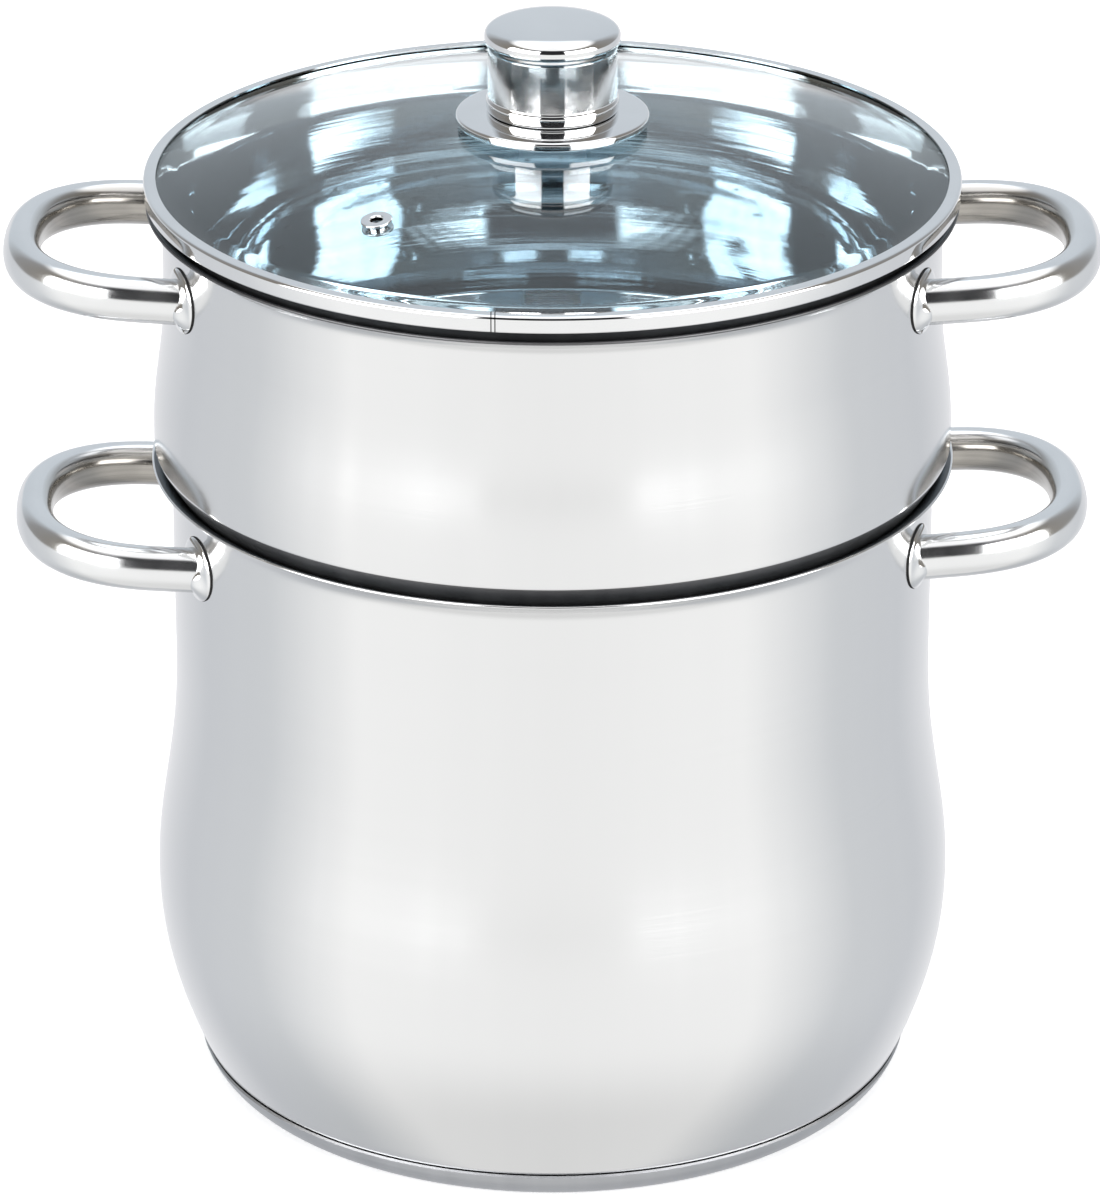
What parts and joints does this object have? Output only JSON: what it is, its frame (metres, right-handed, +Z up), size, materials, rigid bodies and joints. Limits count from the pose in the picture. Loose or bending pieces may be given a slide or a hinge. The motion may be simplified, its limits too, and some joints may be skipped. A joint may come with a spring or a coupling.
{
  "type": "couscoussier",
  "caption": "Bellied steel stockpot with a perforated steamer nested in its mouth and a domed glass lid with a knob; both vessels have loop handles.",
  "frame": {"origin": "middle of the base, on the surface that the pot stands on", "axes": "+Z up along the pot's axis, -Y towards the viewer of the picture, handles on -X and +X"},
  "size_m": [0.3506, 0.2608, 0.3596],
  "materials": {
    "satin_steel": "bright satin stainless steel, fine vertical grain",
    "mirror_steel": "mirror polished stainless steel",
    "base_steel": "matte brushed stainless steel",
    "aluminium_core": "plain turned aluminium",
    "tinted_glass": "clear tempered glass with a faint blue-grey tint",
    "silicone": "translucent white silicone"
  },
  "bodies": {
    "pot": {"pot_body": "satin_steel", "pot_base_core": "aluminium_core", "pot_base_cap": "base_steel", "pot_handle_left": "mirror_steel", "pot_handle_pad_left_front": "mirror_steel", "pot_handle_pad_left_back": "mirror_steel", "pot_handle_right": "mirror_steel", "pot_handle_pad_right_front": "mirror_steel", "pot_handle_pad_right_back": "mirror_steel"},
    "steamer": {"steamer_body": "satin_steel", "steamer_handle_left": "mirror_steel", "steamer_handle_pad_left_front": "mirror_steel", "steamer_handle_pad_left_back": "mirror_steel", "steamer_handle_right": "mirror_steel", "steamer_handle_pad_right_front": "mirror_steel", "steamer_handle_pad_right_back": "mirror_steel"},
    "lid": {"lid_glass": "tinted_glass", "lid_rim_band": "mirror_steel", "lid_vent_eyelet": "mirror_steel", "knob_cap": "mirror_steel", "knob_skirt": "mirror_steel", "knob_boss": "aluminium_core", "knob_screw": "mirror_steel", "knob_screw_washer": "mirror_steel", "knob_upper_gasket": "silicone", "knob_lower_gasket": "silicone"}
  },
  "joints": [
    {"name": "steamer_lift", "type": "slide", "parent": "pot", "child": "steamer", "axis": [0, 0, 1], "range_m": [0, 0.12]},
    {"name": "lid_lift", "type": "slide", "parent": "steamer", "child": "lid", "axis": [0, 0, 1], "range_m": [0, 0.1]}
  ]
}
